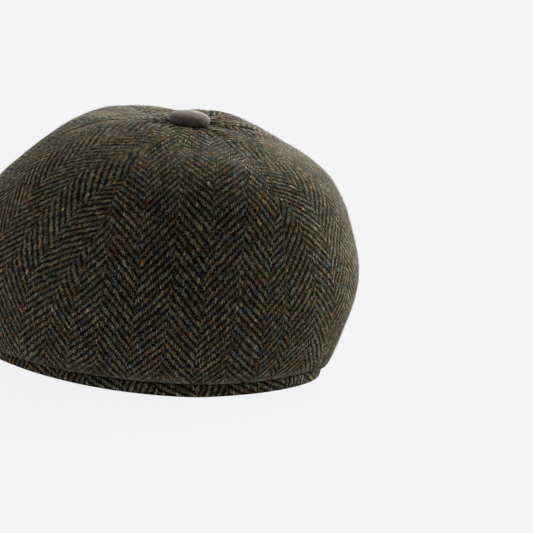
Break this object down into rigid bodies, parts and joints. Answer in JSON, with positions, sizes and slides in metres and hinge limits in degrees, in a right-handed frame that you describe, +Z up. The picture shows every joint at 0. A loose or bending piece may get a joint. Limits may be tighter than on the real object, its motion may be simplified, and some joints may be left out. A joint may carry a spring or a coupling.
{
  "type": "herringbone tweed baker-boy cap",
  "caption": "Full gored crown of herringbone tweed blousing over a narrow band, with a covered button on top and a short stiff cloth-covered peak in front.",
  "frame": {"origin": "on the surface the cap rests on, under the middle of its length and width", "axes": "+Z up from the surface, +Y from the peak towards the back of the head, +X towards the wearer's left"},
  "size_m": [0.19, 0.2726, 0.1289],
  "materials": {
    "tweed": "matte woollen herringbone tweed, dark olive with heather flecks of rust, teal and straw",
    "button_suede": "plain taupe suede, matte, softly brushed"
  },
  "bodies": {
    "root": {"crown_gore_front_left": "tweed", "crown_gore_side_left": "tweed", "crown_gore_back_left": "tweed", "crown_gore_back_right": "tweed", "crown_gore_side_right": "tweed", "crown_gore_front_right": "tweed", "band": "tweed", "peak": "tweed", "button": "button_suede"}
  },
  "joints": []
}
